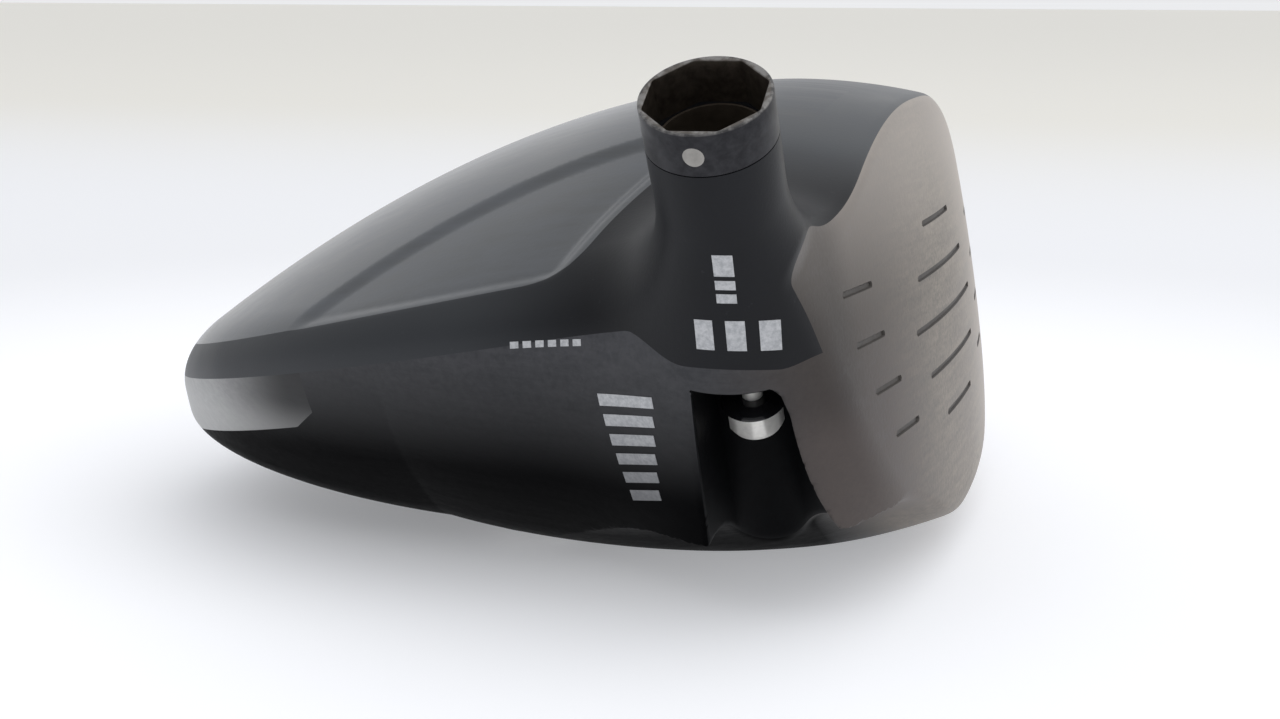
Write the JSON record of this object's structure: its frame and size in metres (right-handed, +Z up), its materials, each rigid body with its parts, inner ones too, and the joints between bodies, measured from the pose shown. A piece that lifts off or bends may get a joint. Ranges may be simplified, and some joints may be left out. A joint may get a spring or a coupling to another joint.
{
  "type": "golf driver",
  "caption": "Left-handed golf driver head with an open adjustable hosel, a captive hosel screw in a heel port, a grooved face and threaded sole weights.",
  "frame": {"origin": "middle of the bounding box at ground level, with the sole resting on Z = 0", "axes": "+X out of the face towards the target, +Y to the toe, +Z up; the hosel is on the heel side, -Y"},
  "size_m": [0.1132, 0.1399, 0.066],
  "materials": {
    "painted_shell": "satin dark blue-grey paint over cast metal",
    "bare_casting": "dark grey bead-blasted and brushed metal",
    "face_metal": "warm grey satin face with darker score lines",
    "crown_composite": "satin dark grey composite crown",
    "sole_composite": "matt black composite",
    "pad_alloy": "satin light alloy",
    "collar_metal": "bare dark grey turned metal",
    "liner_metal": "dark bore",
    "dot_paint": "pale enamel dot",
    "port_black": "smooth black moulding",
    "seat_metal": "turned steel",
    "screw_metal": "bright turned steel",
    "washer_black": "glossy black polymer washer",
    "clip_metal": "spring steel",
    "cup_metal": "dark machined alloy",
    "weight_metal": "turned steel weight",
    "ring_polymer": "thin red polymer washer"
  },
  "bodies": {
    "head": {"upper_casting": "painted_shell", "lower_casting": "bare_casting", "face_plate": "face_metal", "crown_panel": "crown_composite", "sole_plate": "sole_composite", "rear_pad": "pad_alloy", "hosel_collar": "collar_metal", "hosel_liner": "liner_metal", "alignment_dot": "dot_paint", "port_liner": "port_black", "screw_seat": "seat_metal", "heel_cup": "cup_metal", "toe_cup": "cup_metal", "rear_cup": "cup_metal"},
    "screw_carrier": {"screw_washer": "washer_black"},
    "screw": {"hosel_screw": "screw_metal", "screw_retainer": "clip_metal"},
    "heel_washer": {"heel_ring": "ring_polymer"},
    "heel_weight": {"heel_weight": "weight_metal"},
    "toe_washer": {"toe_ring": "ring_polymer"},
    "toe_weight": {"toe_weight": "weight_metal"},
    "rear_washer": {"rear_ring": "ring_polymer"},
    "rear_weight": {"rear_weight": "weight_metal"}
  },
  "joints": [
    {"name": "screw_slide", "type": "slide", "parent": "head", "child": "screw_carrier", "axis": [-0.0104, -0.5299, 0.848], "range_m": [0, 0.0082]},
    {"name": "screw_turn", "type": "hinge", "parent": "screw_carrier", "child": "screw", "pos_m": [0.03654, -0.04102, 0.02544], "axis": [-0.0104, -0.5299, 0.848], "continuous": true},
    {"name": "heel_weight_slide", "type": "slide", "parent": "head", "child": "heel_washer", "axis": [-0.086, -0.1017, -0.9911], "range_m": [0, 0.004]},
    {"name": "heel_weight_turn", "type": "hinge", "parent": "heel_washer", "child": "heel_weight", "pos_m": [0.00095, -0.01442, 0.00165], "axis": [-0.086, -0.1017, -0.9911], "range_deg": [0, 1800]},
    {"name": "toe_weight_slide", "type": "slide", "parent": "head", "child": "toe_washer", "axis": [-0.086, 0.1017, -0.9911], "range_m": [0, 0.004]},
    {"name": "toe_weight_turn", "type": "hinge", "parent": "toe_washer", "child": "toe_weight", "pos_m": [0.00095, 0.03058, 0.00165], "axis": [-0.086, 0.1017, -0.9911], "range_deg": [0, 1800]},
    {"name": "rear_weight_slide", "type": "slide", "parent": "head", "child": "rear_washer", "axis": [-0.2138, 0, -0.9769], "range_m": [0, 0.004]},
    {"name": "rear_weight_turn", "type": "hinge", "parent": "rear_washer", "child": "rear_weight", "pos_m": [-0.03405, 0.00808, 0.00585], "axis": [-0.2138, 0, -0.9769], "range_deg": [0, 1800]}
  ],
  "couplings": [
    {"joint": "heel_weight_turn", "follows": "heel_weight_slide", "rad_per_m": 7854},
    {"joint": "toe_weight_turn", "follows": "toe_weight_slide", "rad_per_m": 7854},
    {"joint": "rear_weight_turn", "follows": "rear_weight_slide", "rad_per_m": 7854}
  ]
}
